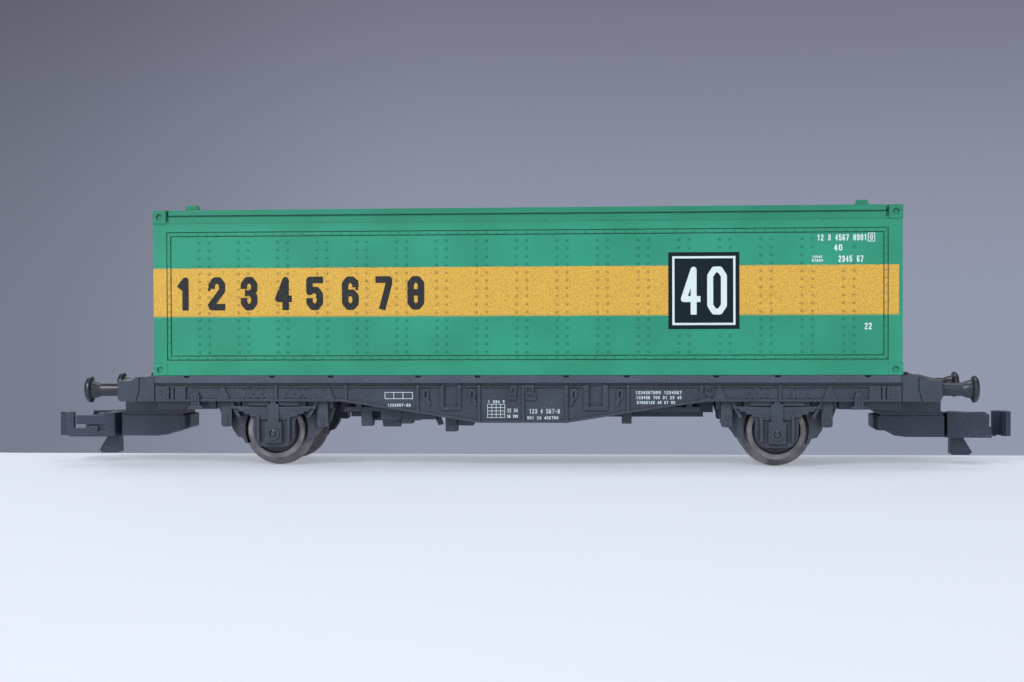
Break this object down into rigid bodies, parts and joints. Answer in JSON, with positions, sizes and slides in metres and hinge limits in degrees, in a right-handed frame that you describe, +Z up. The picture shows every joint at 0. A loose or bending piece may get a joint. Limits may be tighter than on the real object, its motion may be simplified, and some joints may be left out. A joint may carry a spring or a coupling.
{
  "type": "model flat car",
  "caption": "Two-axle N scale container flat wagon with fish-belly side sills, leaf-sprung axle guards, buffers and hook couplers, loaded with a removable ribbed and riveted box container.",
  "frame": {"origin": "midway between the couplers, on the centre line, level with the lowest point of the wheel flanges", "axes": "+X along the track, +Y across it, +Z up; the wagon is the same after half a turn about Z"},
  "size_m": [0.1004, 0.0152, 0.0269],
  "materials": {
    "container_shell_paint": "green moulded plastic with a yellow printed band",
    "container_floor_plastic": "green moulded plastic",
    "frame_plastic": "dark slate moulded plastic",
    "deck_plastic": "dark slate moulded plastic",
    "running_gear_plastic": "dark slate moulded plastic",
    "coupler_plastic": "smooth dark moulded plastic",
    "buffer_plastic": "glossy black moulded plastic",
    "wheel_metal": "turned metal, chemically darkened, brown-grey",
    "axle_steel": "turned steel",
    "bush_plastic": "black plastic",
    "weight_steel": "plain rolled steel",
    "spring_steel": "drawn spring wire"
  },
  "bodies": {
    "wagon": {"underframe": "frame_plastic", "deck": "deck_plastic", "ballast_weight": "weight_steel", "buffer_a_near": "buffer_plastic", "buffer_a_far": "buffer_plastic", "buffer_b_near": "buffer_plastic", "buffer_b_far": "buffer_plastic", "axle_guard_a": "running_gear_plastic", "axle_guard_b": "running_gear_plastic", "brake_gear_near": "running_gear_plastic", "brake_gear_far": "running_gear_plastic", "coupler_box_a": "coupler_plastic", "coupler_box_b": "coupler_plastic", "coupler_cover_a": "coupler_plastic", "coupler_cover_b": "coupler_plastic"},
    "container": {"container_shell": "container_shell_paint", "container_roof": "container_shell_paint", "container_floor": "container_floor_plastic"},
    "wheelset_a": {"axle_a": "axle_steel", "wheel_a_near": "wheel_metal", "wheel_a_far": "wheel_metal", "insulating_bush_a": "bush_plastic"},
    "coupler_carrier_a": {"coupler_spring_a": "spring_steel"},
    "coupler_head_a": {"coupler_a": "coupler_plastic"},
    "wheelset_b": {"axle_b": "axle_steel", "wheel_b_near": "wheel_metal", "wheel_b_far": "wheel_metal", "insulating_bush_b": "bush_plastic"},
    "coupler_carrier_b": {"coupler_spring_b": "spring_steel"},
    "coupler_head_b": {"coupler_b": "coupler_plastic"}
  },
  "joints": [
    {"name": "container_lift_off", "type": "slide", "parent": "wagon", "child": "container", "axis": [0, 0, 1], "range_m": [0, 0.03]},
    {"name": "wheelset_a_roll", "type": "hinge", "parent": "wagon", "child": "wheelset_a", "pos_m": [0.02567, 0, 0.00375], "axis": [0, 1, 0], "continuous": true},
    {"name": "coupler_a_swing", "type": "hinge", "parent": "wagon", "child": "coupler_carrier_a", "pos_m": [0.04, 0, 0.00415], "axis": [0, 0, 1], "range_deg": [-10, 10]},
    {"name": "coupler_a_lift", "type": "hinge", "parent": "coupler_carrier_a", "child": "coupler_head_a", "pos_m": [0.04, 0, 0.00415], "axis": [0, -1, 0], "range_deg": [0, 4]},
    {"name": "wheelset_b_roll", "type": "hinge", "parent": "wagon", "child": "wheelset_b", "pos_m": [-0.02567, 0, 0.00375], "axis": [0, 1, 0], "continuous": true},
    {"name": "coupler_b_swing", "type": "hinge", "parent": "wagon", "child": "coupler_carrier_b", "pos_m": [-0.04, 0, 0.00415], "axis": [0, 0, 1], "range_deg": [-10, 10]},
    {"name": "coupler_b_lift", "type": "hinge", "parent": "coupler_carrier_b", "child": "coupler_head_b", "pos_m": [-0.04, 0, 0.00415], "axis": [0, 1, 0], "range_deg": [0, 4]}
  ]
}
